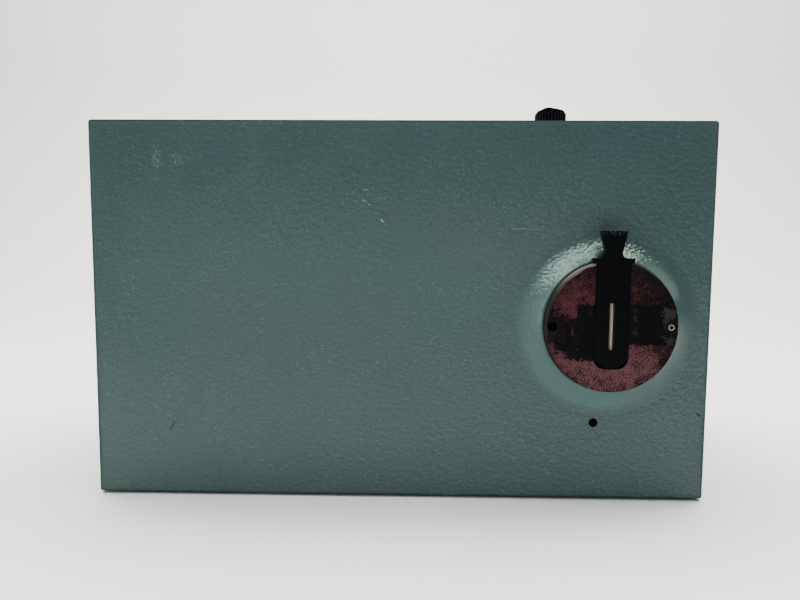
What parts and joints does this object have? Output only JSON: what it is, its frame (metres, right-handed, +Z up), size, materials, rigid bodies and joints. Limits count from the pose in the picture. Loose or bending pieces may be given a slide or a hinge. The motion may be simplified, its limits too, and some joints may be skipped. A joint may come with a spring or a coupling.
{
  "type": "grating monochromator",
  "caption": "Cast box monochromator: flared ports with lift-out slit slides, a fluted wavelength knob, and fold mirrors, a turning grating and a screw-and-arm drive inside.",
  "frame": {"origin": "middle of the base, on the surface that the feet stand on", "axes": "+X to the right as seen from the front, -Y out of the front face with the entrance port, +Z up"},
  "size_m": [0.28, 0.1588, 0.1834],
  "materials": {
    "box_paint": "teal-grey enamel with a fine orange-peel and wrinkle texture, lightly scuffed",
    "base_black": "matt black paint",
    "foot_rubber": "matt black rubber",
    "screw_steel": "plain steel",
    "mount_maroon": "aluminium with a worn, speckled maroon finish and a bare rim",
    "slide_black": "black anodised aluminium",
    "blade_steel": "fine-ground pale steel",
    "knob_plastic": "black moulded plastic",
    "shaft_steel": "ground steel",
    "bush_brass": "turned brass",
    "bare_aluminium": "milled aluminium",
    "inner_black": "matt black anodised aluminium against stray light",
    "optic_mirror": "aluminised glass",
    "drum_white": "off-white plastic with black numbers",
    "window_glass": "clear glass"
  },
  "bodies": {
    "root": {"housing": "box_paint", "base_plate": "base_black", "feet": "foot_rubber", "base_screws": "screw_steel", "front_slit_mount": "mount_maroon", "rear_slit_mount": "mount_maroon", "slit_mount_screws": "screw_steel", "index_pins": "box_paint", "knob_bush": "bush_brass", "screw_bushes": "bush_brass", "drive_plate": "bare_aluminium", "drive_plate_screws": "screw_steel", "right_bearing_block": "bare_aluminium", "middle_bearing_block": "bare_aluminium", "left_bearing_block": "bare_aluminium", "guide_rod": "shaft_steel", "upper_bearing": "shaft_steel", "lower_bearing": "shaft_steel", "pivot_post": "bare_aluminium", "return_spring": "shaft_steel", "spring_post": "shaft_steel", "mirror_stand": "inner_black", "entrance_mirror": "optic_mirror", "exit_mirror": "optic_mirror", "stand_screws": "screw_steel", "baffle": "inner_black", "idler_spindle": "shaft_steel", "counter_window": "window_glass"},
    "front_slide": {"front_slit_slide": "slide_black", "front_slit_blades": "blade_steel"},
    "rear_slide": {"rear_slit_slide": "slide_black", "rear_slit_blades": "blade_steel"},
    "knob_drive": {"knob": "knob_plastic", "knob_set_screw": "screw_steel", "knob_shaft": "shaft_steel", "knob_gear": "bush_brass"},
    "screw_drive": {"lead_screw": "shaft_steel", "screw_gear": "bush_brass", "fine_drum": "drum_white", "counter_pinion": "bush_brass"},
    "counter_idler_gears": {"counter_idler": "bush_brass"},
    "coarse_number_drum": {"coarse_drum": "drum_white"},
    "nut_carriage": {"drive_nut": "bush_brass", "pusher_plate": "shaft_steel"},
    "grating_carrier": {"sine_arm": "bare_aluminium", "arm_ball": "shaft_steel", "grating_shaft": "shaft_steel", "grating_pivot": "shaft_steel", "grating_cell": "inner_black", "grating": "optic_mirror"}
  },
  "joints": [
    {"name": "front_slide_lift", "type": "slide", "parent": "root", "child": "front_slide", "axis": [0, 0, 1], "range_m": [0, 0.06]},
    {"name": "rear_slide_lift", "type": "slide", "parent": "root", "child": "rear_slide", "axis": [0, 0, 1], "range_m": [0, 0.06]},
    {"name": "nut_travel", "type": "slide", "parent": "root", "child": "nut_carriage", "axis": [1, 0, 0], "range_m": [-0.0075, 0.0075]},
    {"name": "knob_turn", "type": "hinge", "parent": "root", "child": "knob_drive", "pos_m": [0.072, -0.04, 0.146], "axis": [0, 0, 1], "range_deg": [-1082, 1082]},
    {"name": "screw_turn", "type": "hinge", "parent": "root", "child": "screw_drive", "pos_m": [0.072, -0.04, 0.146], "axis": [1, 0, 0], "range_deg": [-1082, 1082]},
    {"name": "idler_turn", "type": "hinge", "parent": "root", "child": "counter_idler_gears", "pos_m": [0.0455, -0.02515, 0.13115], "axis": [1, 0, 0], "range_deg": [-271, 271]},
    {"name": "coarse_drum_turn", "type": "hinge", "parent": "root", "child": "coarse_number_drum", "pos_m": [0.028, -0.04, 0.146], "axis": [1, 0, 0], "range_deg": [-108.5, 108.5]},
    {"name": "grating_turn", "type": "hinge", "parent": "root", "child": "grating_carrier", "pos_m": [-0.1, 0, 0.1325], "axis": [0, 0, 1], "range_deg": [-10.5, 10.5], "deforming": ["return_spring"]}
  ],
  "couplings": [
    {"joint": "knob_turn", "follows": "nut_travel", "rad_per_m": -2513.3},
    {"joint": "screw_turn", "follows": "nut_travel", "rad_per_m": -2513.3},
    {"joint": "idler_turn", "follows": "nut_travel", "rad_per_m": 628.32},
    {"joint": "coarse_drum_turn", "follows": "nut_travel", "rad_per_m": -251.33},
    {"joint": "grating_turn", "follows": "nut_travel", "rad_per_m": 24.155}
  ]
}
